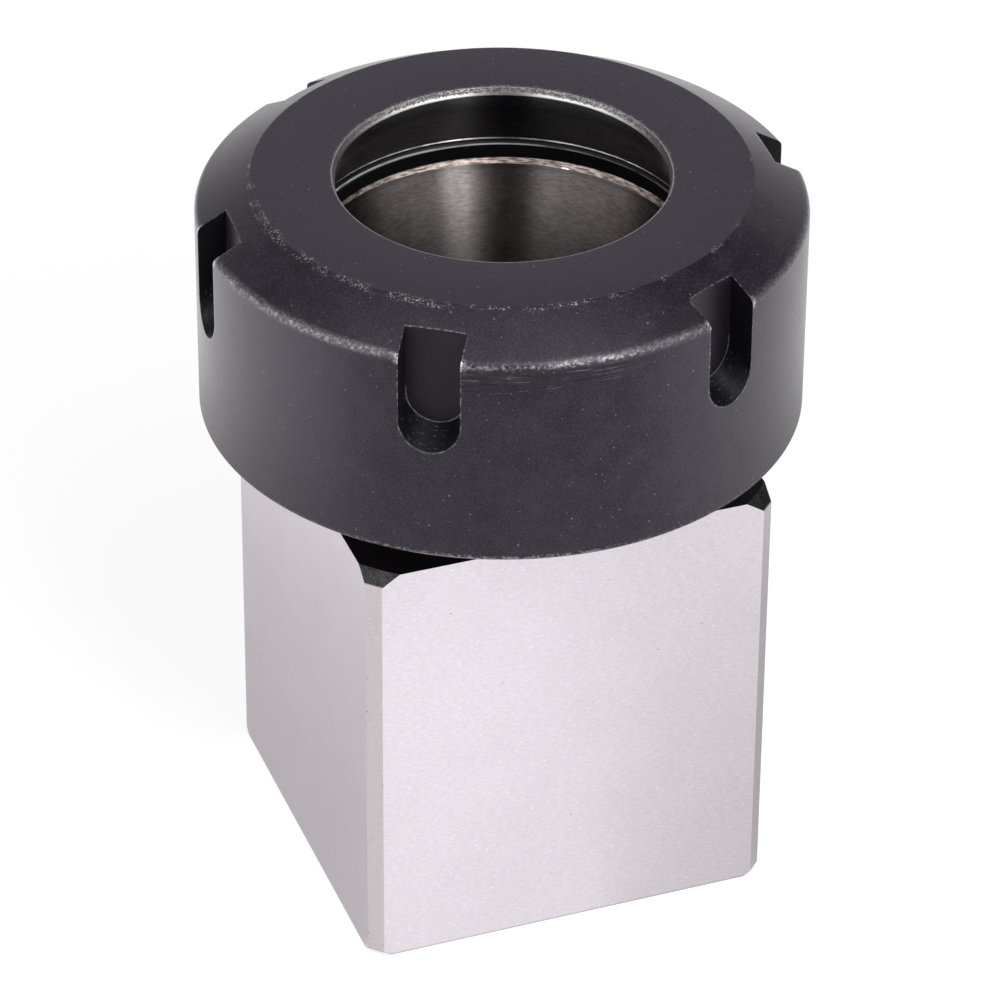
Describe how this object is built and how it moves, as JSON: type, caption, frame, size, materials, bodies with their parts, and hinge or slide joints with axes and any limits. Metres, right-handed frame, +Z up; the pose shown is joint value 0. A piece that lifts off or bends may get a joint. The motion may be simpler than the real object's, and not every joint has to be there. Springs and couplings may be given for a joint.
{
  "type": "square collet block",
  "caption": "Square steel block with a collet taper and a threaded nose, closed by a slotted ring nut, to hold round stock in a vice or on a machine table.",
  "frame": {"origin": "centre of the square base, where the block stands", "axes": "+Z up along the common axis of block, taper and nut, +X and +Y square to the four flats"},
  "size_m": [0.063, 0.063, 0.0798],
  "materials": {
    "ground_steel": "surface ground flats, turned and ground taper",
    "blackened_steel": "black oxide, ground clamping cone and lip"
  },
  "bodies": {
    "block": {"collet_block": "ground_steel"},
    "nut": {"closer_nut": "blackened_steel"}
  },
  "joints": [
    {"name": "nut_turn", "type": "hinge", "parent": "block", "child": "nut", "pos_m": [0, 0, 0.0665], "axis": [0, 0, 1], "range_deg": [0, 3420]}
  ]
}
